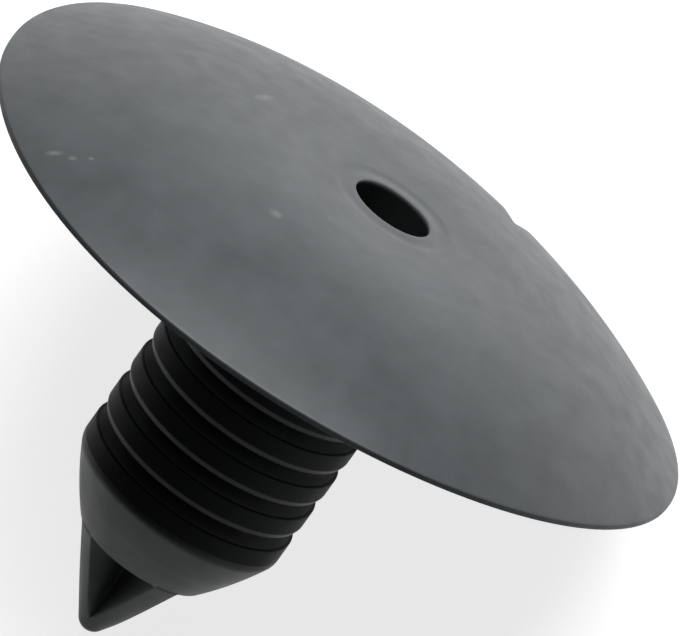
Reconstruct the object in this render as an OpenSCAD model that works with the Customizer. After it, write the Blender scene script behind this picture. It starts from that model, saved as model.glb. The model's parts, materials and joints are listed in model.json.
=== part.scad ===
// Push-in fir tree clip: a domed umbrella head, a shank with a stack of flexible disc fins
// and a nose that ends in a cross-shaped point. It is one moulded piece, with a deep cored
// hole down its middle. It is drawn upright about the Z axis, with the head's upper rim edge
// at height 0, and is then laid down on the head's rim and the end of the point, which have small
// flats there.

/* [Head] */
// Outside diameter of the head
head_d = 30; // [26:0.5:36]
// Height of the crown above the upper edge of the rim
crown_h = 3.05; // [2:0.05:4]
// Radius of the flat land in the middle of the crown
crown_flat_r = 4; // [3.5:0.25:5]
// Wall thickness at the crown
crown_t = 1.15; // [0.9:0.05:1.4]
// Height of the upright wall at the rim
rim_t = 0.35; // [0.3:0.05:0.6]
// Rounding of the upper edge of the rim
rim_round = 0.18; // [0.05:0.01:0.2]
// Width of the flat land under the rim, which presses on the panel
seat_w = 0.4; // [0.2:0.05:1]

/* [Dent in the head] */
// Distance of the dent's middle from the middle of the head
dent_at_r = 12; // [10:0.25:12.5]
// Depth of the dent
dent_depth = 0.18; // [0.1:0.02:0.3]
// Radius of the dent's round bottom
dent_round_r = 1.3; // [0.8:0.1:3]
// Angle of the dent about the axis, from the side that lies down
dent_side = -2; // [-20:1:20]
// Direction in which the dent runs, from straight outwards
dent_turn = 21; // [0:1:30]

/* [Cored hole] */
// Diameter of the blind hole in the crown
hole_d = 3.24; // [2.4:0.02:3.6]
// Depth of the hole below the crown
hole_depth = 12.5; // [6:0.5:13.5]
// Bevel around the mouth of the hole
hole_bevel = 0.12; // [0.05:0.01:0.3]
// Distance of the hole's middle from the middle of the head
hole_off = 0.2; // [0:0.02:0.4]
// Direction in which the hole is off the middle, from the side that lies down
hole_off_turn = -71; // [-180:1:180]

/* [Shank] */
// Diameter of the core that carries the fins
core_d = 5.2; // [4.8:0.1:6]
// Radius of the fillet between the core and the underside of the head
neck_fillet = 0.8; // [0.3:0.1:1.2]
// Outside diameter of the fins
fin_d = 8.74; // [7.6:0.02:9.4]
// Thickness of a fin
fin_t = 0.98; // [0.6:0.02:1.1]
// Distance from one fin to the next
fin_pitch = 1.564; // [1.2:0.002:2]
// Number of fins, with the one that the nose grows out of
fin_count = 5; // [3:1:7]
// Distance of the first fin below the upper edge of the rim
first_fin = 3.96; // [3.2:0.02:6]
// Bevel on the edges of the fins
fin_bevel = 0.14; // [0.05:0.01:0.2]

/* [Nose] */
// Length of the round skirt below the last fin
skirt_len = 2.6; // [2:0.1:3.4]
// Diameter of the skirt at its lower end
skirt_end_d = 5.56; // [4.6:0.02:6]
// Radius of the outward bow of the skirt
skirt_bow_r = 14; // [8:1:40]
// Length of the cross-shaped point below the skirt
point_len = 4; // [3:0.05:5]
// Thickness of the webs of the point
web_t = 1.1; // [0.6:0.05:1.3]
// Angle of the webs about the axis, from the side that lies down
web_turn = 56; // [45:1:89]
// Radius of the rounded end of the point
tip_r = 0.6; // [0.4:0.05:0.7]

/* [Rest] */
// Depth of the small flats where the rim and the tip touch the floor
rest_flat = 0.1; // [0:0.01:0.15]

/* [Hidden] */
$fn = 96;
// Overshoot of a cutting shape past the face that it cuts
over = 1;
// Angle of the mould's parting line about the axis: it runs along the two level sides of the laid clip
parting_turn = 90;

head_r = head_d / 2;
hole_r = hole_d / 2;
core_r = core_d / 2;
fin_r = fin_d / 2;
skirt_end_r = skirt_end_d / 2;

// The dome's outside is an arc that leaves the flat land level and meets the rim at height 0
dome_w = head_r - crown_flat_r;
dome_r = (dome_w * dome_w + crown_h * crown_h) / (2 * crown_h);
dome_z = crown_h - dome_r;
// The dome's underside is a flatter arc, so that the wall thins towards the rim
ceiling_z = crown_h - crown_t;
under_w = dome_w - seat_w;
under_drop = ceiling_z + rim_t;
under_r = (under_w * under_w + under_drop * under_drop) / (2 * under_drop);

// Middle of the rim's rounding, which touches the dome's arc and the upright wall
round_x = head_r - rim_round;
round_reach = dome_r - rim_round;
round_z = dome_z + sqrt(pow(round_reach, 2) - pow(round_x - crown_flat_r, 2));
// Direction from the dome's centre through the middle of the rounding
round_dir = [round_x - crown_flat_r, round_z - dome_z] / round_reach;

// Heights along the axis
last_fin_z = -first_fin - (fin_count - 1) * fin_pitch - fin_t;
skirt_end_z = last_fin_z - skirt_len;
tip_z = skirt_end_z - point_len;

// The point's edges run straight from the skirt's lower end and touch a ball at the tip
ball_z = tip_z + tip_r;
ball_reach = norm([skirt_end_z - ball_z, skirt_end_r]);
web_slope = atan2(skirt_end_r, skirt_end_z - ball_z) - asin(tip_r / ball_reach);
tip_steps = 6;

// Lean that brings the rim's lower edge and the tip's ball to the same level, before the flats are cut
lie_l = -ball_z - rim_t;
lean = atan2(lie_l, head_r) + asin(tip_r / norm([lie_l, head_r]));
// Place of the laid part: its flats at height 0, and centred over the origin from end to end
floor_z = rest_flat - head_r * sin(lean) - rim_t * cos(lean);
high_x = round_x * cos(lean) + round_z * sin(lean) + rim_round;
low_x = ball_z * sin(lean) - tip_r;
middle_x = (high_x + low_x) / 2;

// Everything under the dome's outer arc, as a half section
module dome_outline() {
  intersection() {
    translate([0, -rim_t])
      square([head_r, crown_h + rim_t]);
    union() {
      translate([0, -rim_t])
        square([crown_flat_r, crown_h + rim_t]);
      translate([crown_flat_r, dome_z])
        circle(r = dome_r);
    }
  }
}

// Everything under the dome's ceiling, as a half section
module ceiling_outline() {
  translate([0, -rim_t - over])
    square([crown_flat_r, ceiling_z + rim_t + over]);
  intersection() {
    translate([crown_flat_r, -rim_t - over])
      square([under_w + over, ceiling_z + rim_t + over]);
    translate([crown_flat_r, ceiling_z - under_r])
      circle(r = under_r);
  }
}

// What the rounding takes off the upper edge of the rim
module rim_corner() {
  past = 4 * rim_round;
  middle = [round_x, round_z];
  dome_side = middle + past * round_dir;
  difference() {
    polygon([middle, [head_r + past, round_z], [head_r + past, dome_side[1]], dome_side]);
    translate(middle)
      circle(r = rim_round);
  }
}

// Fillet between the core and the ceiling
module neck_corner() {
  difference() {
    translate([core_r - over / 4, ceiling_z - neck_fillet])
      square([neck_fillet + over / 4, neck_fillet + over / 4]);
    translate([core_r + neck_fillet, ceiling_z - neck_fillet])
      circle(r = neck_fillet);
  }
}

module head_section() {
  difference() {
    dome_outline();
    ceiling_outline();
    rim_corner();
  }
  neck_corner();
}

// One fin, with its upper face at height 0
module fin_section() {
  polygon([
    [0, 0],
    [fin_r - fin_bevel, 0],
    [fin_r, -fin_bevel],
    [fin_r, fin_bevel - fin_t],
    [fin_r - fin_bevel, -fin_t],
    [0, -fin_t]
  ]);
}

// The fin that the nose grows out of keeps its full width at its lower face
module last_fin_section() {
  polygon([
    [0, 0],
    [fin_r - fin_bevel, 0],
    [fin_r, -fin_bevel],
    [fin_r, -fin_t],
    [0, -fin_t]
  ]);
}

module shank_section() {
  translate([0, last_fin_z])
    square([core_r, ceiling_z + crown_t / 2 - last_fin_z]);
  for (i = [0 : fin_count - 2])
    translate([0, -first_fin - i * fin_pitch])
      fin_section();
  translate([0, last_fin_z + fin_t])
    last_fin_section();
}

// The skirt bows outwards between the last fin and its lower end
module skirt_section() {
  chord = [skirt_end_r - fin_r, -skirt_len];
  outward = [skirt_len, skirt_end_r - fin_r] / norm(chord);
  sagitta_leg = sqrt(pow(skirt_bow_r, 2) - pow(norm(chord) / 2, 2));
  bow_middle = [fin_r, last_fin_z] + chord / 2 - sagitta_leg * outward;
  intersection() {
    translate([0, skirt_end_z])
      square([fin_r + over, skirt_len]);
    translate(bow_middle)
      circle(r = skirt_bow_r);
  }
}

// Tapered point with its ball end, before the pockets are cut; its root reaches up into the skirt
module point_section() {
  polygon(concat(
    [[0, skirt_end_z + skirt_len / 2], [skirt_end_r / 2, skirt_end_z + skirt_len / 2]],
    [[skirt_end_r, skirt_end_z]],
    [for (i = [0 : tip_steps])
      let (turn = web_slope + (90 - web_slope) * i / tip_steps)
      [tip_r * cos(turn), ball_z - tip_r * sin(turn)]]
  ));
}

// The four pockets that leave the point as two crossed webs
module pockets() {
  for (turn = [0 : 90 : 270])
    rotate([0, 0, turn + web_turn])
      translate([web_t / 2, web_t / 2, tip_z - over])
        cube([fin_r, fin_r, point_len + over]);
}

module cored_hole() {
  rotate([0, 0, hole_off_turn])
    translate([hole_off, 0, crown_h]) {
      translate([0, 0, -hole_depth])
        cylinder(r = hole_r, h = hole_depth + over);
      translate([0, 0, -hole_bevel])
        cylinder(r1 = hole_r, r2 = hole_r + 2 * hole_bevel, h = 2 * hole_bevel);
    }
}

// A short round-bottomed dent that runs along the dome's surface
module dent() {
  slope = asin((dent_at_r - crown_flat_r) / dome_r);
  dip = atan(tan(slope) * cos(dent_turn));
  reach = dome_r + dent_round_r - dent_depth;
  rotate([0, 0, dent_side])
    translate([crown_flat_r + reach * sin(slope), 0, dome_z + reach * cos(slope)])
      rotate([0, 90 + dip, dent_turn])
        cylinder(r = dent_round_r, h = head_r, center = true);
}

module turned_body() {
  rotate_extrude()
    head_section();
  rotate_extrude()
    shank_section();
  rotate_extrude()
    skirt_section();
  rotate_extrude()
    point_section();
}

module upright_clip() {
  difference() {
    rotate([0, 0, parting_turn])
      turned_body();
    pockets();
    cored_hole();
    dent();
  }
}

// What the flats take off, below the floor
module under_floor() {
  translate([-head_d, -head_d, -over])
    cube([2 * head_d, 2 * head_d, over]);
}

module fir_tree_clip() {
  color("dimgray")
    difference() {
      translate([-middle_x, 0, -floor_z])
        rotate([0, lean, 0])
          upright_clip();
      under_floor();
    }
}

fir_tree_clip();
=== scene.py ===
"""Looks of a push-in fir tree clip: one piece of moulded black nylon that lies on its rim and its point.

The clip is modelled upright about its own Z axis, with the upper edge of the head's rim at height 0, and the
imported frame's shank mount then says where that axis lies.
"""

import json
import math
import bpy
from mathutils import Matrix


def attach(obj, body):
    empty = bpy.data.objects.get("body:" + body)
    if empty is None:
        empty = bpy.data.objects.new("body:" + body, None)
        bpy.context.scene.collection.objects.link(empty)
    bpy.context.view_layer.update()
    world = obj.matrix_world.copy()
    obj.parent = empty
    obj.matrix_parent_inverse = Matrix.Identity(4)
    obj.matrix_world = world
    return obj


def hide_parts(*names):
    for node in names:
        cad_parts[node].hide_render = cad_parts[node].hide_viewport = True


bl_info = {
    "name": "Fir Tree Clip",
    "version": (1, 0, 0),
    "blender": (4, 5, 0),
    "location": "View3D > Sidebar > Fir Tree Clip",
    "description": "Builds a push-in fir tree clip of moulded nylon, with its finish and a small studio",
    "category": "Add Mesh",
}

from functools import reduce

import bpy
import numpy as np
from bpy.props import FloatProperty, FloatVectorProperty, IntProperty, PointerProperty
from mathutils import Matrix, Vector

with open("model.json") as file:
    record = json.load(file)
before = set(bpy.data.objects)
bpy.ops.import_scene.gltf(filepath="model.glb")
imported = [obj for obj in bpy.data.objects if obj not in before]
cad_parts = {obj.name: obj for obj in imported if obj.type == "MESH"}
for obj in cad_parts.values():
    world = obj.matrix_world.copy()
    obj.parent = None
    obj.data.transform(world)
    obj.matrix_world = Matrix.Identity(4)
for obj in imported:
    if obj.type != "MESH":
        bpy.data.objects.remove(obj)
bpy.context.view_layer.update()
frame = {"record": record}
SHANK = {mount["name"]: mount for mount in frame["record"]["mounts"]}["shank"]

MM = 0.001
NODE = "fir_tree_clip"
BODY = "root"

# Columns of the mesh in an eighth of the cross of webs: a web's end, its corner, its side and the valley
END_STEPS = 14
EDGE_STEPS = 4
FLAT_STEPS = 10
VALLEY_STEPS = 4
# How much closer the columns lie on the side with the dent
DENT_CROWDING = 0.5
# Rings of the mesh on each form
ROUND_STEPS = 4
DOME_STEPS = 58
CEILING_STEPS = 26
SKIRT_STEPS = 16
WEB_STEPS = 30
TIP_STEPS = 10
# Length from which a straight gets rings of its own
LONG_STRAIGHT = 0.5 * MM
# Rings on the flat step between the skirt and the webs, as shares of its width, and the step's fall
STEP_SHARES = (0.03, 0.5, 0.97)
STEP_FALL = 0.02 * MM
# Power that draws in the sides of the dent
DENT_POWER = 1.5
# Angle from which an edge is shaded as a sharp one
SHARP_ANGLE = math.radians(40)


def length(name, description, default_mm):
    """A size in metres whose default is given in millimetres."""
    return FloatProperty(
        name=name,
        description=description,
        default=default_mm * MM,
        unit="LENGTH",
        subtype="DISTANCE",
    )


def angle(name, description, default_deg):
    """An angle in radians whose default is given in degrees."""
    return FloatProperty(
        name=name,
        description=description,
        default=math.radians(default_deg),
        subtype="ANGLE",
    )


def colour(name, description, default):
    """A linear colour."""
    return FloatVectorProperty(
        name=name,
        description=description,
        default=default,
        size=3,
        min=0,
        max=1,
        subtype="COLOR",
    )


def share(name, description, default):
    """A share from 0 to 1."""
    return FloatProperty(name=name, description=description, default=default, min=0, max=1, subtype="FACTOR")


class ClipSizes(bpy.types.PropertyGroup):
    """Sizes of the moulded clip."""

    head_diameter: length("Head diameter", "Outside diameter of the head", 30)
    crown_height: length("Crown height", "Height of the crown above the upper edge of the rim", 3.05)
    land_radius: length("Land radius", "Radius of the flat land in the middle of the crown", 4)
    crown_wall: length("Crown wall", "Wall thickness at the crown", 1.15)
    rim_wall: length("Rim wall", "Height of the upright wall at the rim", 0.2)
    rim_round: length("Rim rounding", "Rounding of the upper edge of the rim", 0.07)
    seat_width: length("Seat width", "Width of the flat land under the rim", 0.4)
    hole_diameter: length("Hole diameter", "Diameter of the cored hole in the crown", 3.24)
    hole_depth: length("Hole depth", "Depth of the cored hole below the crown", 12.5)
    hole_round: length("Hole rounding", "Rounding of the hole's mouth", 0.08)
    hole_off: length("Hole offset", "Distance of the hole's middle from the middle of the head", 0.23)
    hole_off_turn: angle("Hole offset turn", "Direction of the hole's offset, from the side that lies down", -71)
    lip_width: length("Lip width", "Width of the flat lip around the hole, inside its groove", 0.22)
    groove_width: length("Groove width", "Width of the shallow groove around the hole's lip", 0.75)
    groove_depth: length("Groove depth", "Depth of the shallow groove around the hole's lip", 0.035)
    core_diameter: length("Core diameter", "Diameter of the core that carries the fins", 5.2)
    neck_fillet: length("Neck fillet", "Fillet between the core and the underside of the head", 0.8)
    fin_diameter: length("Fin diameter", "Outside diameter of the fins", 8.74)
    fin_thickness: length("Fin thickness", "Thickness of a fin", 0.98)
    fin_pitch: length("Fin pitch", "Distance from one fin to the next", 1.564)
    fin_count: IntProperty(
        name="Fins",
        description="Number of fins, with the one that the nose grows out of",
        default=5,
        min=3,
    )
    first_fin: length("First fin", "Distance of the first fin below the upper edge of the rim", 3.96)
    fin_round: length("Fin rounding", "Rounding of the upper edges of the fins", 0.04)
    taper_height: length("Taper height", "Height of the tapered lower edge of a fin", 0.22)
    taper_depth: length("Taper depth", "How far the lower edge of a fin tapers inwards", 0.09)
    taper_round: length("Taper rounding", "Rounding of the edges of the taper", 0.04)
    skirt_edge: length("Skirt edge", "Rounding of the edge between the last fin and the skirt", 0.12)
    root_round: length("Root rounding", "Rounding where a fin meets the core", 0.1)
    skirt_length: length("Skirt length", "Length of the round skirt below the last fin", 2.6)
    skirt_end: length("Skirt end", "Diameter of the skirt at its lower end", 5.56)
    skirt_bow: length("Skirt bow", "Radius of the outward bow of the skirt", 14)
    point_length: length("Point length", "Length of the cross-shaped point below the skirt", 4.0)
    web_thickness: length("Web thickness", "Thickness of the webs of the point", 1.1)
    web_turn: angle("Web turn", "Angle of the webs about the axis, from the side that lies down", 56)
    web_round: length("Web rounding", "Rounding of the long edges of the webs", 0.07)
    valley_round: length("Valley rounding", "Rounding in the corners between the webs", 0.12)
    tip_radius: length("Tip radius", "Radius of the rounded end of the point", 0.6)


class HeadWear(bpy.types.PropertyGroup):
    """How the thin head has bent since it was moulded."""

    warp_rise: length("Warp", "How far two opposite sides of the rim have risen and the others sunk", 0.33)
    warp_turn: angle("Warp turn", "Angle about the axis at which the rim has risen", 64.3)
    warp_start: length("Warp start", "Distance from the axis at which the warp begins", 4.4)
    warp_full: length("Warp full", "Distance from the axis at which the warp is complete", 8.4)
    dent_distance: length("Dent distance", "Distance of the dent's middle from the axis", 12)
    dent_depth: length("Dent depth", "Depth of the dent", 0.19)
    dent_width: length("Dent width", "Width of the dent", 1.5)
    dent_length: length("Dent length", "Length of the dent", 5.6)
    dent_side: angle("Dent side", "Angle of the dent about the axis, from the side that lies down", -2)
    dent_turn: angle("Dent turn", "Direction in which the dent runs, from straight outwards", 21)


class NylonFinish(bpy.types.PropertyGroup):
    """Colours and gloss of the nylon, some of the colours painted light and shade."""

    dark: colour("Dark nylon", "Colour of the darker mottles", (0.04, 0.0435, 0.046))
    light: colour("Light nylon", "Colour of the lighter mottles", (0.072, 0.0785, 0.083))
    scuff: colour("Scuff", "Colour of the pale scuffs", (0.16, 0.165, 0.16))
    # Painted shade: the neck and the nose get this darker colour than the head, standing in for the shade that
    # they lie in under the head.
    shank: colour("Shank", "Colour of the neck and the nose, which are less dusty", (0.017, 0.0182, 0.019))
    # Painted shade: the fins' walls, the hole's wall and the rim's upright wall get this near-black colour as
    # shade.
    wall: colour("Dull wall", "Colour of the dull walls of the fins", (0.01, 0.0107, 0.011))
    # Painted light: the gaps between the fins get this lighter colour, which lifts their deep shade.
    gap: colour("Gap", "Colour of the dusty gaps between the fins", (0.09, 0.095, 0.097))
    sheen: colour("Sheen", "Tint of what the surface mirrors", (0.93, 0.98, 1.0))
    smooth: share("Least roughness", "Roughness of the glossier patches", 0.4)
    rough: share("Most roughness", "Roughness of the duller patches", 0.5)
    head_mirror: share("Mirroring", "How much the head mirrors", 0.5)
    wall_mirror: share("Dull mirroring", "How much the dull walls of the shank mirror", 0.04)
    # Share of the walls' painted shade and low mirroring that the nose gets.
    nose_dullness_and_shade: share("Nose dullness", "How dull the nose is, from the head's gloss to the walls'", 0.3)
    # Share of the walls' painted shade and low mirroring that the tapered lower edges of the fins get, so they
    # stay a little lighter and mirror more along their bright lines.
    edge_dullness_and_shade: share("Edge dullness", "How dull the fins' lower edges are, in the same way", 0.7)
    ior: FloatProperty(
        name="Refraction",
        description="Index of refraction, which sets how much the surface mirrors",
        default=1.4,
        min=1,
        max=2,
    )


class StudioSetup(bpy.types.PropertyGroup):
    """The floor, the light and the camera."""

    floor_size: length("Floor size", "Width of the floor", 3000)
    floor_colour: colour("Floor colour", "Colour of the floor", (0.4, 0.4, 0.4))
    glow_colour: colour("Glow colour", "Colour of the light that the floor gives off", (1.0, 1.0, 1.0))
    floor_glow: FloatProperty(
        name="Floor glow",
        description="How much light the floor gives off, as a light table does",
        default=0.79,
        min=0,
    )
    room_colour: colour("Room colour", "Colour of the room around the floor", (0.02, 0.02, 0.02))
    light_turn: angle("Light turn", "Angle of the soft light about the upright, from +X", 10)
    light_rise: angle("Light rise", "Angle of the soft light above the floor", 58)
    light_distance: length("Light distance", "Distance of the soft light from the middle of the floor", 600)
    light_width: length("Light width", "Width of the soft light", 500)
    light_brightness: FloatProperty(
        name="Light brightness",
        description="Brightness of the soft light's own face",
        default=8,
        min=0,
    )
    camera_turn: angle("Camera turn", "Angle of the camera about the upright, from straight in front", -44.71)
    camera_rise: angle("Camera rise", "Angle of the camera above the floor", 65.02)
    camera_distance: length("Camera distance", "Distance of the camera from what it looks at", 700)
    view_width: length("View width", "Width of the picture at the place that the camera looks at", 25.288)
    view_middle: FloatVectorProperty(
        name="View middle",
        description="Place that the camera looks at",
        default=(0.899 * MM, -0.964 * MM, 10.297 * MM),
        unit="LENGTH",
        subtype="TRANSLATION",
    )


def smoothstep(low, high, value):
    """0 below low, 1 above high, and a smooth rise between them."""
    t = np.clip((value - low) / (high - low), 0, 1)
    return t * t * (3 - 2 * t)


def curve(start, corner, end, steps):
    """Points of a curve that leaves start towards a corner and comes from there to end, at shares of its run."""
    steps = steps[:, None]
    return (1 - steps) ** 2 * start + 2 * steps * (1 - steps) * corner + steps**2 * end


def bend(before, corner, after, reach):
    """Points of a rounded corner that leaves both of its sides at the given reach."""
    start = corner + (before - corner) / np.linalg.norm(before - corner) * reach
    end = corner + (after - corner) / np.linalg.norm(after - corner) * reach
    return curve(start, corner, end, np.linspace(0, 1, ROUND_STEPS + 1))


def rounded(corners):
    """A path through corners, each given as radius, height and rounding."""
    places = [np.array(corner[:2]) for corner in corners]
    path = [places[0][None]]
    for before, (_, _, reach), at, after in zip(places, corners[1:], places[1:], places[2:]):
        path.append(bend(before, at, after, reach) if reach else at[None])
    path.append(places[-1][None])
    return np.concatenate(path)


def filled(path, gap, edge_gap):
    """The path with points added on its long straights: one close to each end, and the rest a gap apart."""
    points = [path[0]]
    for start, end in zip(path[:-1], path[1:]):
        reach = np.linalg.norm(end - start)
        shares = [1.0]
        if reach > LONG_STRAIGHT:
            inner = np.linspace(edge_gap / reach, 1 - edge_gap / reach, max(2, math.ceil(reach / gap)))
            shares = [*inner, 1.0]
        points += [start + (end - start) * at for at in shares]
    return np.array(points)


def arc_between(start, end, radius, steps):
    """Points of a shallow arc from start to end that bows to the right of the way it goes."""
    chord = end - start
    half = np.linalg.norm(chord) / 2
    right = np.array([chord[1], -chord[0]]) / (2 * half)
    middle = (start + end) / 2 - right * math.sqrt(radius**2 - half**2)
    first = math.atan2(*(start - middle)[::-1])
    last = math.atan2(*(end - middle)[::-1])
    turns = np.linspace(first, last, steps + 1)
    return middle + radius * np.stack([np.cos(turns), np.sin(turns)], 1)


def turned(points, turn):
    """Points turned about the axis."""
    c, s = math.cos(turn), math.sin(turn)
    return points @ np.array([[c, s], [-s, c]])


def circle(radius, height, turns):
    """A ring of points about the axis."""
    return np.stack([radius * np.cos(turns), radius * np.sin(turns), np.full(len(turns), height)], 1)


def level(outline, height):
    """A ring of points along an outline at one height."""
    return np.concatenate([outline, np.full((len(outline), 1), height)], 1)


class ClipShape:
    """Works out the clip's surface, upright, from its sizes."""

    def __init__(self, sizes, wear):
        self.sizes = sizes
        self.wear = wear
        self.head_r = sizes.head_diameter / 2
        self.hole_r = sizes.hole_diameter / 2
        self.core_r = sizes.core_diameter / 2
        self.fin_r = sizes.fin_diameter / 2
        self.skirt_r = sizes.skirt_end / 2
        self.hole_floor_z = sizes.crown_height - sizes.hole_depth
        self.ceiling_z = sizes.crown_height - sizes.crown_wall
        self.last_fin_z = -sizes.first_fin - (sizes.fin_count - 1) * sizes.fin_pitch - sizes.fin_thickness
        self.skirt_end_z = self.last_fin_z - sizes.skirt_length
        self.tip_z = self.skirt_end_z - sizes.point_length
        self.dome_w = self.head_r - sizes.land_radius
        self.dome_r = (self.dome_w**2 + sizes.crown_height**2) / (2 * sizes.crown_height)

    def dome_height(self, radius):
        """Height of the dome, before it warped, at a distance from the axis."""
        past_land = max(radius - self.sizes.land_radius, 0)
        return self.sizes.crown_height - self.dome_r + math.sqrt(self.dome_r**2 - past_land**2)

    def crown_path(self):
        """From the bottom of the cored hole over the crown to the upright wall of the rim."""
        sizes = self.sizes
        lip_r = self.hole_r + sizes.lip_width
        third = sizes.groove_width / 3
        groove_z = sizes.crown_height - sizes.groove_depth
        hole = rounded([
            (0, self.hole_floor_z, 0),
            (self.hole_r, self.hole_floor_z, 2 * sizes.hole_round),
            (self.hole_r, sizes.crown_height, sizes.hole_round),
            (lip_r, sizes.crown_height, third / 2),
            (lip_r + third, groove_z, third / 2),
            (lip_r + 2 * third, groove_z, third / 2),
            (lip_r + 3 * third, sizes.crown_height, third / 2),
            (sizes.land_radius, sizes.crown_height, 0),
        ])
        turns = np.linspace(0, math.asin(self.dome_w / self.dome_r), DOME_STEPS + 1)[1:]
        dome_x = sizes.land_radius + self.dome_r * np.sin(turns)
        dome_z = sizes.crown_height - self.dome_r + self.dome_r * np.cos(turns)
        dome = np.stack([dome_x, dome_z], 1)
        rim = rounded([
            (*dome[-2], 0),
            (self.head_r, 0, sizes.rim_round),
            (self.head_r, -sizes.rim_wall, 0),
        ])
        return np.concatenate([filled(hole, gap=1.5 * MM, edge_gap=0.03 * MM), dome[:-2], rim[:-1]])

    def under_path(self):
        """From the upright wall of the rim, under the head and down over the fins to the last one."""
        sizes = self.sizes
        width = self.head_r - sizes.seat_width - sizes.land_radius
        drop = self.ceiling_z + sizes.rim_wall
        under_r = (width**2 + drop**2) / (2 * drop)
        turns = np.linspace(math.asin(width / under_r), 0, CEILING_STEPS + 1)
        ceiling_x = sizes.land_radius + under_r * np.sin(turns)
        ceiling_z = self.ceiling_z - under_r + under_r * np.cos(turns)
        corners = [
            (self.head_r, -sizes.rim_round, 0),
            (self.head_r, -sizes.rim_wall, sizes.rim_round / 4),
            *((x, z, 0) for x, z in zip(ceiling_x, ceiling_z)),
            (self.core_r, self.ceiling_z, sizes.neck_fillet),
        ]
        for fin in range(sizes.fin_count):
            top = -sizes.first_fin - fin * sizes.fin_pitch
            bottom = top - sizes.fin_thickness
            corners += [(self.core_r, top, sizes.root_round), (self.fin_r, top, sizes.fin_round)]
            if fin < sizes.fin_count - 1:
                corners += [
                    (self.fin_r, bottom + sizes.taper_height, sizes.taper_round),
                    (self.fin_r - sizes.taper_depth, bottom, sizes.taper_round),
                    (self.core_r, bottom, sizes.root_round),
                ]
        corners += [(self.fin_r, self.last_fin_z + 2 * sizes.skirt_edge, 0)]
        return filled(rounded(corners), gap=0.6 * MM, edge_gap=0.04 * MM)

    def skirt_path(self):
        """From the last fin's lower edge down the bowed skirt."""
        start = np.array([self.fin_r, self.last_fin_z])
        end = np.array([self.skirt_r, self.skirt_end_z])
        bow = arc_between(end, start, self.sizes.skirt_bow, SKIRT_STEPS)[::-1]
        above = start + np.array([0, 1])
        return np.concatenate([bend(above, start, bow[1], self.sizes.skirt_edge), bow[1:]])

    def web_path(self):
        """Reach of the webs and height, from the skirt's end to the end of the tip."""
        tip_r = self.sizes.tip_radius
        ball_z = self.tip_z + tip_r
        fall = self.skirt_end_z - ball_z
        slope = math.atan2(self.skirt_r, fall) - math.asin(tip_r / math.hypot(fall, self.skirt_r))
        top = np.array([self.skirt_r, self.skirt_end_z])
        touch = np.array([tip_r * math.cos(slope), ball_z - tip_r * math.sin(slope)])
        straight = top + (touch - top) * np.linspace(0, 1, WEB_STEPS + 1)[:, None]
        turns = np.linspace(slope, math.pi / 2, TIP_STEPS + 1)[1:-1]
        ball = np.stack([tip_r * np.cos(turns), ball_z - tip_r * np.sin(turns)], 1)
        return np.concatenate([straight, ball])

    def cross_outline(self, reach):
        """The cross of the two webs at a given reach, as points all around the axis."""
        half = self.sizes.web_thickness / 2
        arm = math.sqrt(max(reach**2 - half**2, 0))
        flat = max(arm - half, 0)
        edge_turn = math.atan2(half, arm) if flat > 0 else math.pi / 4
        edge = reach * np.array([math.cos(edge_turn), math.sin(edge_turn)])
        valley = np.array([half, half]) if flat > 0 else edge
        web_round = min(self.sizes.web_round, flat / 3)
        valley_round = min(self.sizes.valley_round, flat / 3)
        turns = np.linspace(0, edge_turn - web_round / reach, END_STEPS + 1)
        end = reach * np.stack([np.cos(turns), np.sin(turns)], 1)
        side_start = edge - np.array([web_round, 0])
        corner = curve(end[-1], edge, side_start, np.linspace(0, 1, EDGE_STEPS + 1)[1:])
        side_end = valley + np.array([valley_round, 0])
        side = side_start + (side_end - side_start) * np.linspace(0, 1, FLAT_STEPS + 1)[1:, None]
        across = valley + np.array([0, valley_round])
        dip = curve(side_end, valley, across, np.linspace(0, 0.5, VALLEY_STEPS + 1)[1:])
        eighth = np.concatenate([end, corner, side, dip])
        quarter = np.concatenate([eighth, eighth[-2:0:-1, ::-1]])
        return np.concatenate([turned(quarter, k * math.pi / 2 + self.sizes.web_turn) for k in range(4)])

    def rings(self):
        """All rings from the bottom of the hole to the tip, and how many are on the head's top and on the head."""
        cross = self.cross_outline(self.skirt_r)
        cross_turn = np.unwrap(np.arctan2(cross[:, 1], cross[:, 0]))
        even = cross_turn[0] + np.linspace(0, 2 * math.pi, len(cross), endpoint=False)
        close = even - DENT_CROWDING * np.sin(even - self.wear.dent_side)
        crown, under, skirt = self.crown_path(), self.under_path(), self.skirt_path()
        rings = [circle(*at, close) for at in np.concatenate([crown[1:], under])]
        shares = smoothstep(self.last_fin_z, self.skirt_end_z, skirt[:, 1])
        rings += [circle(*at, close + (cross_turn - close) * s) for at, s in zip(skirt, shares)]
        edge = rings[-1][:, :2]
        for inward in STEP_SHARES:
            rings.append(level(edge + (cross - edge) * inward, self.skirt_end_z - STEP_FALL * inward))
        (first_reach, first_z), *webs = self.web_path()
        rings.append(level(self.cross_outline(first_reach), first_z - STEP_FALL))
        rings += [level(self.cross_outline(reach), z) for reach, z in webs]
        return rings, len(crown) - 1, len(crown) + CEILING_STEPS

    def shifted(self, points):
        """Points of the hole, its lip and its groove, moved to where the hole is off the middle."""
        sizes = self.sizes
        groove_end = self.hole_r + sizes.lip_width + sizes.groove_width
        radius = np.hypot(points[:, 0], points[:, 1])
        shares = 1 - smoothstep(groove_end, sizes.land_radius, radius)
        moved = points.copy()
        moved[:, 0] += sizes.hole_off * math.cos(sizes.hole_off_turn) * shares
        moved[:, 1] += sizes.hole_off * math.sin(sizes.hole_off_turn) * shares
        return moved

    def warped(self, points):
        """Head points after the thin head has warped into a slight saddle."""
        wear = self.wear
        radius = np.hypot(points[:, 0], points[:, 1])
        turn = np.arctan2(points[:, 1], points[:, 0])
        full = wear.warp_rise * (radius / self.head_r) ** 2 * np.cos(2 * (turn - wear.warp_turn))
        lifted = points.copy()
        lifted[:, 2] += full * smoothstep(wear.warp_start, wear.warp_full, radius)
        return lifted

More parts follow.
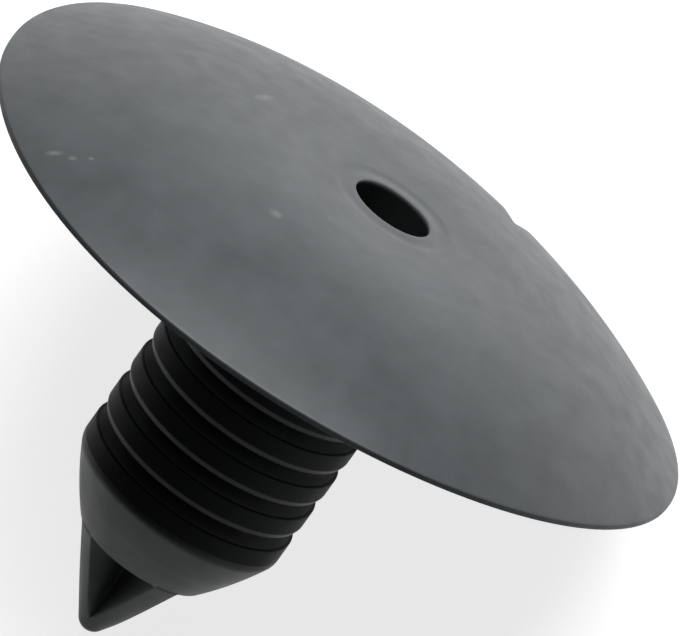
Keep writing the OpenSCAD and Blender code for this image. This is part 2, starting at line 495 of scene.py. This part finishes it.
    def dented(self, points):
        """Points of the head's upper side after the dent."""
        wear = self.wear
        middle = wear.dent_distance * np.array([math.cos(wear.dent_side), math.sin(wear.dent_side)])
        turn = wear.dent_side + wear.dent_turn
        along_dir = np.array([math.cos(turn), math.sin(turn)])
        across_dir = np.array([-along_dir[1], along_dir[0]])
        from_middle = points[:, :2] - middle
        along = np.abs(from_middle @ along_dir) / (wear.dent_length / 2)
        across = np.abs(from_middle @ across_dir) / (wear.dent_width / 2)
        pressed = points.copy()
        sides = np.clip(1 - across, 0, 1) ** DENT_POWER
        pressed[:, 2] -= wear.dent_depth * sides * np.clip(1 - along**2, 0, 1)
        return pressed


def axis_placement(shape):
    """Where the upright clip lies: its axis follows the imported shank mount, and Y stays level."""
    up = -Vector(SHANK["axis"]).normalized()
    sideways = Vector((0, 1, 0))
    out = sideways.cross(up)
    turn = Matrix((out, sideways, up)).transposed()
    middle_z = shape.last_fin_z + SHANK["dims"]["length_mm"] * MM / 2
    return Matrix.Translation(Vector(SHANK["pos_m"]) - middle_z * up) @ turn.to_4x4()


def laid_down(points, placement):
    """Points brought from the upright clip to where it lies, and pressed flat where they dip into the floor."""
    laid = points @ np.array(placement.to_3x3()).T + np.array(placement.translation)
    laid[:, 2] = np.maximum(laid[:, 2], 0)
    return laid


def skin(name, points, around):
    """A closed mesh through rings of equal size, with a single point at each end."""
    count = (len(points) - 2) // around
    step = np.arange(around)
    after = (step + 1) % around
    faces = []
    for ring in range(count - 1):
        low = 1 + ring * around
        high = low + around
        faces += np.stack([low + step, high + step, high + after, low + after], 1).tolist()
    end = len(points) - 1
    bottom = 1 + (count - 1) * around
    faces += np.stack([np.zeros_like(step), 1 + step, 1 + after], 1).tolist()
    faces += np.stack([bottom + step, np.full_like(step, end), bottom + after], 1).tolist()
    mesh = bpy.data.meshes.new(name)
    mesh.from_pydata(points.tolist(), [], faces)
    mesh.shade_smooth()
    mesh.set_sharp_from_angle(angle=SHARP_ANGLE)
    return mesh


# The nylon's noises: mottles of colour, patches of gloss, the fine grain, and the torn edges of the scuffs
MOTTLE = {"Scale": 420, "Detail": 6, "Roughness": 0.62}
PATCH = {"Scale": 900, "Detail": 4, "Roughness": 0.55}
GRAIN = {"Scale": 5200, "Detail": 3, "Roughness": 0.6}
RAGGED = {"Scale": 4200, "Detail": 4, "Roughness": 0.7}
# The span of a noise that makes the full change of colour or gloss
NOISE_SPAN = (0.3, 0.7)
GRAIN_STRENGTH = 0.35
GRAIN_HEIGHT = 0.012 * MM

# Small pale scuffs on the head: distance from the axis, angle about it, length, width and lie, in millimetres
# and degrees
SCUFFS = (
    (14.0, 146.5, 0.65, 0.3, 135),
    (13.5, 148.3, 0.3, 0.25, 135),
    (12.9, 149, 0.2, 0.2, 0),
    (6.36, 91.2, 1.3, 0.35, -5),
    (7.43, 173.7, 0.5, 0.5, 0),
)
# How deep the scuffs reach into the head, which is less than its wall
SCUFF_DEPTH = 0.3 * MM
# Where a scuff ends and where it is full, as shares of its own reach
SCUFF_SPAN = (1.3, 0.2)

# Fall of the cone that parts the head's colour from the shank's painted shade, as a share of its distance from the
# axis
NECK_CONE_SLOPE = 0.4
# Where a finish begins and where it is full, as two distances in millimetres from the edge that it is set by
NECK_FADE = (-0.25, 0.25)
HOLE_FADE = (0.5, 0.2)
MOUTH_FADE = (-0.05, -0.2)
HOLE_FLOOR_FADE = (-0.5, -0.2)
SHANK_FADE = (0.9, 0.4)
FIRST_FIN_FADE = (0.8, 0.2)
NOSE_FADE = (-0.25, 0.1)
GAP_FADE = (-0.1, -0.16)
LAST_FIN_FADE = (-0.1, 0.1)
RIM_FADE = (-0.05, 0.035)

# Spacing of the nodes in the shader editor
NODE_COLUMN = 220
NODE_ROW = 280


def new_node(tree, kind, settings=None, **inputs):
    """A shader node with some settings, and with some of its inputs set or linked by name."""
    node = tree.nodes.new(kind)
    for name, value in (settings or {}).items():
        setattr(node, name, value)
    for name, value in inputs.items():
        feed(tree, node.inputs[name.replace("_", " ")], value)
    return node


def feed(tree, socket, value):
    """Link an input to a node's output, or set its value."""
    if isinstance(value, bpy.types.NodeSocket):
        tree.links.new(value, socket)
    else:
        socket.default_value = value


def noise(tree, place, kind):
    """A noise of one of the kinds above."""
    return new_node(tree, "ShaderNodeTexNoise", Vector=place, **kind).outputs["Fac"]


def mapped(tree, value, span, least=0, most=1, easing="LINEAR"):
    """A value that goes from the least one to the most as another one goes through a span."""
    settings = {"interpolation_type": easing}
    ends = {"From_Min": span[0], "From_Max": span[1], "To_Min": least, "To_Max": most}
    return new_node(tree, "ShaderNodeMapRange", settings, Value=value, **ends).outputs["Result"]


def fade(tree, value, edge, distances, least=0):
    """A smooth mask that begins and is full at two distances from an edge."""
    span = [edge + distance * MM for distance in distances]
    return mapped(tree, value, span, least, easing="SMOOTHSTEP")


def worked_out(tree, operation, *values):
    """The result of a Math node."""
    node = new_node(tree, "ShaderNodeMath", {"operation": operation})
    for socket, value in zip(node.inputs, values):
        feed(tree, socket, value)
    return node.outputs["Value"]


def product(tree, *masks):
    """The product of some masks."""
    return reduce(lambda first, second: worked_out(tree, "MULTIPLY", first, second), masks)


def largest(tree, *masks):
    """The largest of some masks."""
    return reduce(lambda first, second: worked_out(tree, "MAXIMUM", first, second), masks)


def distance_from_middle(tree, vector):
    """How far a place is from the middle of its own coordinates."""
    node = new_node(tree, "ShaderNodeVectorMath", {"operation": "LENGTH"}, Vector=vector)
    return node.outputs["Value"]


def painted(tree, mask, under, over):
    """One colour over another where a mask is high."""
    settings = {"data_type": "RGBA"}
    return new_node(tree, "ShaderNodeMix", settings, Factor=mask, A=under, B=over).outputs["Result"]


def rgba(value):
    """A colour with full opacity, as sockets take it."""
    return (*value, 1)


def arrange(tree):
    """Lay the nodes out in columns, each one as far from the output as the longest way from it."""
    columns = {}
    waiting = [(node, 0) for node in tree.nodes if node.type == "OUTPUT_MATERIAL"]
    while waiting:
        node, column = waiting.pop()
        if columns.get(node.name, -1) < column:
            columns[node.name] = column
            waiting += [(link.from_node, column + 1) for socket in node.inputs for link in socket.links]
    rows = {}
    for name, column in columns.items():
        rows[column] = rows.get(column, -1) + 1
        tree.nodes[name].location = (-NODE_COLUMN * column, -NODE_ROW * rows[column])


def nylon_material(finish, shape, placement):
    """Black moulded nylon: mottled, finely grained, with pale scuffs on the head, and with painted light and
    shade: a lighter middle of the head as a painted highlight, darker shank and walls as painted shade, lighter
    gaps between the fins as painted light.
    """
    material = bpy.data.materials.new("black_nylon")
    material.use_nodes = True
    tree = material.node_tree
    shader = tree.nodes["Principled BSDF"]
    shader.inputs["IOR"].default_value = finish.ior
    shader.inputs["Specular Tint"].default_value = rgba(finish.sheen)
    upright = new_node(
        tree,
        "ShaderNodeMapping",
        {"vector_type": "TEXTURE"},
        Vector=new_node(tree, "ShaderNodeTexCoord").outputs["Object"],
        Location=placement.translation,
        Rotation=placement.to_euler(),
    )
    place = upright.outputs["Vector"]

    head, gap, dull_and_shaded, middle = finish_masks(tree, place, shape, finish)
    mottle = mapped(tree, noise(tree, place, MOTTLE), NOISE_SPAN)
    # Painted highlight: the middle mask lightens the head towards the hole, on top of the mottles.
    mottle_and_highlight = new_node(tree, "ShaderNodeMix", A=mottle, B=middle).outputs["Result"]
    mottled_head_with_highlight = painted(tree, mottle_and_highlight, rgba(finish.dark), rgba(finish.light))
    # Painted light and shade: the head keeps its lighter colour, the neck and the nose get a darker one as shade.
    lit_head_shaded_shank = painted(tree, head, rgba(finish.shank), mottled_head_with_highlight)
    # Painted shade on the walls of the fins, the hole and the rim, and painted light lifting the gaps between the
    # fins; the same mask also lowers mirroring.
    painted_wall_and_gap_colour = painted(tree, gap, rgba(finish.wall), rgba(finish.gap))
    walls = painted(tree, dull_and_shaded, lit_head_shaded_shank, painted_wall_and_gap_colour)
    # Real pale scuffs laid over the colours with painted light and shade.
    scuffs_over_painted_light = painted(tree, scuff_mask(tree, place, shape), walls, rgba(finish.scuff))
    feed(tree, shader.inputs["Base Color"], scuffs_over_painted_light)

    mirroring = mapped(tree, dull_and_shaded, (0, 1), finish.head_mirror, finish.wall_mirror)
    feed(tree, shader.inputs["Specular IOR Level"], mirroring)
    gloss = mapped(tree, noise(tree, place, PATCH), NOISE_SPAN, finish.smooth, finish.rough)
    feed(tree, shader.inputs["Roughness"], gloss)
    grain = new_node(
        tree,
        "ShaderNodeBump",
        Height=noise(tree, place, GRAIN),
        Strength=GRAIN_STRENGTH,
        Distance=GRAIN_HEIGHT,
    )
    feed(tree, shader.inputs["Normal"], grain.outputs["Normal"])
    arrange(tree)
    return material


def finish_masks(tree, place, shape, finish):
    """Four masks: the head, lighter than the shank's painted shade; the gaps between the fins, for painted light;
    the walls that mirror little and get painted shade; and the painted highlight in the middle of the head.
    """
    sizes = shape.sizes
    height = new_node(tree, "ShaderNodeSeparateXYZ", Vector=place).outputs["Z"]
    flat = new_node(tree, "ShaderNodeVectorMath", {"operation": "MULTIPLY"}, Vector=place)
    flat.inputs[1].default_value = (1, 1, 0)
    radius = distance_from_middle(tree, flat.outputs["Vector"])

    # A flat cone about the neck parts the head from the shank, whose darker colour is painted shade
    cone = worked_out(tree, "MULTIPLY_ADD", radius, NECK_CONE_SLOPE, height)
    neck = shape.ceiling_z + NECK_CONE_SLOPE * (shape.core_r + sizes.neck_fillet)
    head = fade(tree, cone, neck, NECK_FADE)

    # The hole's wall, which gets painted shade
    hole_reach = shape.hole_r + sizes.hole_off
    hole = product(
        tree,
        fade(tree, radius, hole_reach, HOLE_FADE),
        fade(tree, height, sizes.crown_height, MOUTH_FADE),
        fade(tree, height, shape.hole_floor_z, HOLE_FLOOR_FADE),
    )

    # The fins' walls, which get painted shade and little mirroring, less of both on their tapered lower edges, and
    # the nose
    fins = worked_out(tree, "MULTIPLY_ADD", height, -1 / sizes.fin_pitch, -sizes.first_fin / sizes.fin_pitch)
    phase = worked_out(tree, "FRACT", fins)
    bottom = sizes.fin_thickness / sizes.fin_pitch
    taper = bottom - sizes.taper_height / sizes.fin_pitch
    soft = sizes.taper_round / sizes.fin_pitch
    above_taper = mapped(tree, phase, (taper, taper - soft), easing="SMOOTHSTEP")
    below_taper = mapped(tree, phase, (bottom, bottom + soft), easing="SMOOTHSTEP")
    shank = product(
        tree,
        fade(tree, radius, shape.fin_r, SHANK_FADE),
        fade(tree, height, -sizes.first_fin, FIRST_FIN_FADE),
        fade(tree, height, shape.last_fin_z, NOSE_FADE, finish.nose_dullness_and_shade),
        mapped(tree, largest(tree, above_taper, below_taper), (0, 1), finish.edge_dullness_and_shade),
    )

    # The gaps between the fins, inside their walls, which get painted light that lifts their shade
    gap = product(
        tree,
        fade(tree, radius, shape.fin_r, GAP_FADE),
        fade(tree, radius, hole_reach, HOLE_FADE[::-1]),
        fade(tree, height, shape.last_fin_z, LAST_FIN_FADE),
    )
    # The rim's upright wall, which gets painted shade
    rim = fade(tree, radius, shape.head_r, RIM_FADE)
    # Painted highlight: lighter from the rim towards the middle of the head
    middle = mapped(tree, radius, (shape.head_r, sizes.hole_diameter), easing="SMOOTHSTEP")
    return head, gap, largest(tree, shank, hole, rim), middle


def scuff_mask(tree, place, shape):
    """A mask that is high on the scuffs."""
    scuffs = []
    for distance, side, long, wide, lie in SCUFFS:
        radius, turn = distance * MM, math.radians(side)
        on_dome = [[radius * math.cos(turn), radius * math.sin(turn), shape.dome_height(radius)]]
        local = new_node(
            tree,
            "ShaderNodeMapping",
            {"vector_type": "TEXTURE"},
            Vector=place,
            Location=shape.warped(np.array(on_dome))[0],
            Rotation=(0, 0, math.radians(lie)),
            Scale=(long * MM / 2, wide * MM / 2, SCUFF_DEPTH),
        )
        reach = distance_from_middle(tree, local.outputs["Vector"])
        scuffs.append(mapped(tree, reach, SCUFF_SPAN))
    return product(tree, largest(tree, *scuffs), noise(tree, place, RAGGED))


class CLIP_OT_mould(bpy.types.Operator):
    """Build the moulded clip with its warp, its dent and its nylon finish"""

    bl_idname = "clip.mould"
    bl_label = "Mould the Clip"

    def execute(self, context):
        scene = context.scene
        shape = ClipShape(scene.clip_sizes, scene.clip_wear)
        rings, upper_count, head_count = shape.rings()
        rings[:upper_count] = [shape.shifted(shape.dented(ring)) for ring in rings[:upper_count]]
        rings[:head_count] = [shape.warped(ring) for ring in rings[:head_count]]
        hole_floor = shape.shifted(np.array([[0, 0, shape.hole_floor_z]]))
        tip = [[0, 0, shape.tip_z]]
        placement = axis_placement(shape)
        points = laid_down(np.concatenate([hole_floor, *rings, tip]), placement)
        mesh = skin("moulded_clip", points, len(rings[0]))
        mesh.materials.append(nylon_material(scene.clip_finish, shape, placement))
        clip = bpy.data.objects.new("moulded_clip", mesh)
        scene.collection.objects.link(clip)
        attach(clip, BODY)
        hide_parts(NODE)
        return {"FINISHED"}


# How matt the floor is
FLOOR_ROUGHNESS = 0.9
FLOOR_MIRROR = 0.1

# The camera's sensor in millimetres, and the nearest and furthest that it sees
SENSOR_WIDTH = 36
NEAREST = 0.01
FURTHEST = 20


def floor_material(studio):
    """Pale and matt, and giving off light as a light table does."""
    material = bpy.data.materials.new("pale_floor")
    material.use_nodes = True
    shader = material.node_tree.nodes["Principled BSDF"]
    shader.inputs["Base Color"].default_value = rgba(studio.floor_colour)
    shader.inputs["Roughness"].default_value = FLOOR_ROUGHNESS
    shader.inputs["Specular IOR Level"].default_value = FLOOR_MIRROR
    shader.inputs["Emission Color"].default_value = rgba(studio.glow_colour)
    shader.inputs["Emission Strength"].default_value = studio.floor_glow
    return material


def pale_floor(studio):
    """A large level floor under the clip."""
    half = studio.floor_size / 2
    corners = [(-half, -half, 0), (half, -half, 0), (half, half, 0), (-half, half, 0)]
    mesh = bpy.data.meshes.new("floor")
    mesh.from_pydata(corners, [], [(0, 1, 2, 3)])
    mesh.materials.append(floor_material(studio))
    return bpy.data.objects.new("floor", mesh)


def soft_light(studio):
    """A square soft light that faces the middle of the floor."""
    light = bpy.data.lights.new("far_softbox", "AREA")
    light.size = studio.light_width
    light.energy = studio.light_brightness * math.pi * studio.light_width**2
    lamp = bpy.data.objects.new("far_softbox", light)
    out = studio.light_distance * math.cos(studio.light_rise)
    up = studio.light_distance * math.sin(studio.light_rise)
    lamp.location = (out * math.cos(studio.light_turn), out * math.sin(studio.light_turn), up)
    lamp.rotation_euler = lamp.location.to_track_quat("Z", "Y").to_euler()
    lamp.visible_camera = False
    return lamp


def studio_camera(studio):
    """A camera with a long lens that looks down at the clip."""
    turn, rise = studio.camera_turn, studio.camera_rise
    back = Vector((math.sin(turn) * math.cos(rise), -math.cos(turn) * math.cos(rise), math.sin(rise)))
    lens = bpy.data.cameras.new("camera")
    lens.sensor_width = SENSOR_WIDTH
    lens.lens = SENSOR_WIDTH * studio.camera_distance / studio.view_width
    lens.clip_start = NEAREST
    lens.clip_end = FURTHEST
    camera = bpy.data.objects.new("camera", lens)
    camera.location = Vector(studio.view_middle) + back * studio.camera_distance
    camera.rotation_euler = back.to_track_quat("Z", "Y").to_euler()
    return camera


class CLIP_OT_studio(bpy.types.Operator):
    """Set up the pale floor, the soft light and the camera"""

    bl_idname = "clip.studio"
    bl_label = "Set Up the Studio"

    def execute(self, context):
        scene = context.scene
        studio = scene.clip_studio
        floor, camera = pale_floor(studio), studio_camera(studio)
        for item in (floor, soft_light(studio), camera):
            scene.collection.objects.link(item)
        scene.camera = camera

        world = bpy.data.worlds.new("room")
        world.use_nodes = True
        world.node_tree.nodes["Background"].inputs["Color"].default_value = rgba(studio.room_colour)
        scene.world = world
        scene.view_settings.view_transform = "Standard"
        return {"FINISHED"}


class CLIP_PT_sidebar(bpy.types.Panel):
    """Sizes, finish and studio of the clip"""

    bl_idname = "CLIP_PT_sidebar"
    bl_label = "Fir Tree Clip"
    bl_space_type = "VIEW_3D"
    bl_region_type = "UI"
    bl_category = "Fir Tree Clip"

    def draw(self, context):
        for group_name, operator_name in (
            ("clip_sizes", None),
            ("clip_wear", None),
            ("clip_finish", CLIP_OT_mould.bl_idname),
            ("clip_studio", CLIP_OT_studio.bl_idname),
        ):
            group = getattr(context.scene, group_name)
            box = self.layout.box()
            for name in group.__annotations__:
                box.prop(group, name)
            if operator_name:
                box.operator(operator_name)


CLASSES = (ClipSizes, HeadWear, NylonFinish, StudioSetup, CLIP_OT_mould, CLIP_OT_studio, CLIP_PT_sidebar)
GROUPS = {
    "clip_sizes": ClipSizes,
    "clip_wear": HeadWear,
    "clip_finish": NylonFinish,
    "clip_studio": StudioSetup,
}


def register():
    for item in CLASSES:
        bpy.utils.register_class(item)
    for name, group in GROUPS.items():
        setattr(bpy.types.Scene, name, PointerProperty(type=group))


def unregister():
    for name in GROUPS:
        delattr(bpy.types.Scene, name)
    for item in reversed(CLASSES):
        bpy.utils.unregister_class(item)


def main():
    register()
    bpy.ops.clip.mould()
    bpy.ops.clip.studio()


if __name__ == "__main__":
    main()
